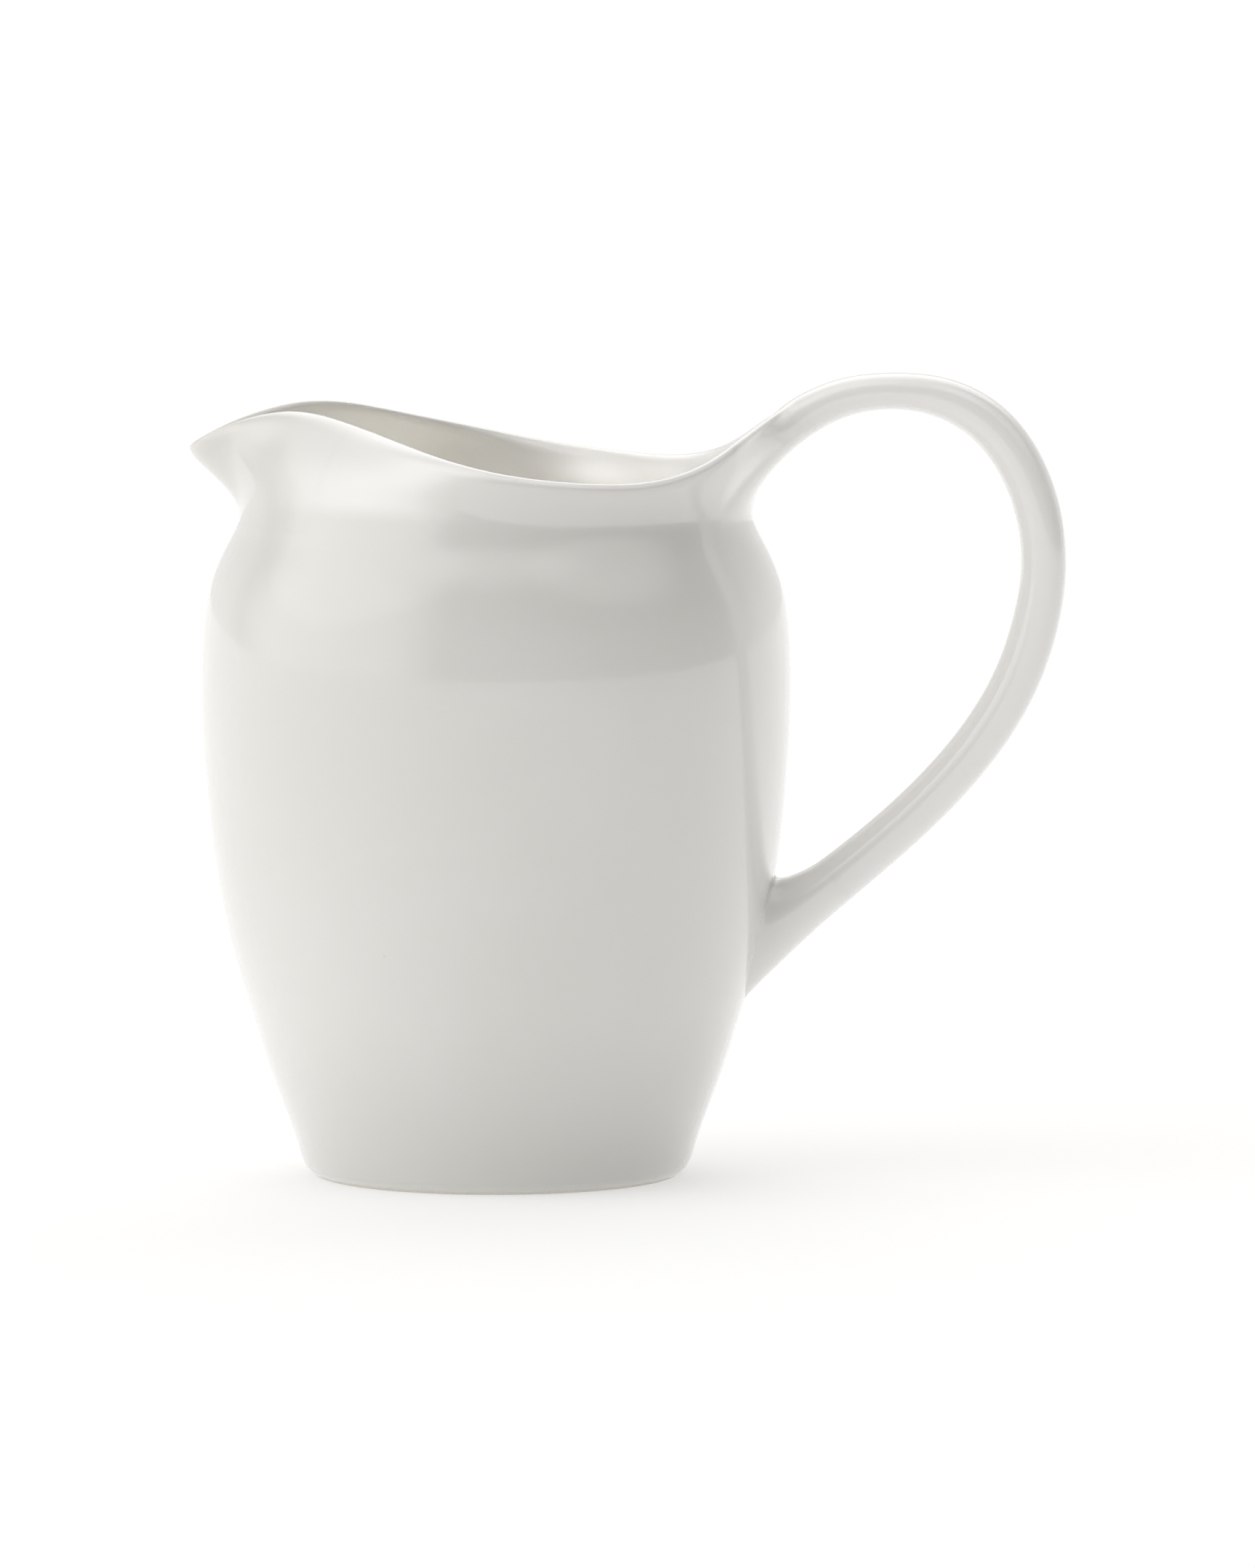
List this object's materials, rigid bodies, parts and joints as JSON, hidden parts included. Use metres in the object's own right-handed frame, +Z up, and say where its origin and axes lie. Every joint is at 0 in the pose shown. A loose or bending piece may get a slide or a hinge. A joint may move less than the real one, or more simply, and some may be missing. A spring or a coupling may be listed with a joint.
{
  "type": "ceramic pitcher",
  "caption": "Glazed porcelain table pitcher with a rounded body, a drawn-in neck, a pinched pouring spout and a high loop handle.",
  "frame": {"origin": "centre of the foot, on the surface that the pitcher stands on", "axes": "+Z up; the spout points along -X and the handle along +X; the XZ plane is the mirror plane"},
  "size_m": [0.1554, 0.104, 0.1422],
  "materials": {
    "glazed_body": "clear gloss glaze on white porcelain",
    "glazed_spout": "clear gloss glaze on white porcelain",
    "glazed_handle": "clear gloss glaze on white porcelain",
    "glazed_joints": "clear gloss glaze, slightly pooled",
    "bare_foot": "unglazed, ground smooth"
  },
  "bodies": {
    "root": {"body_shell": "glazed_body", "pouring_spout": "glazed_spout", "foot_ring": "bare_foot", "handle": "glazed_handle", "upper_handle_joint": "glazed_joints", "lower_handle_joint": "glazed_joints"}
  },
  "joints": []
}
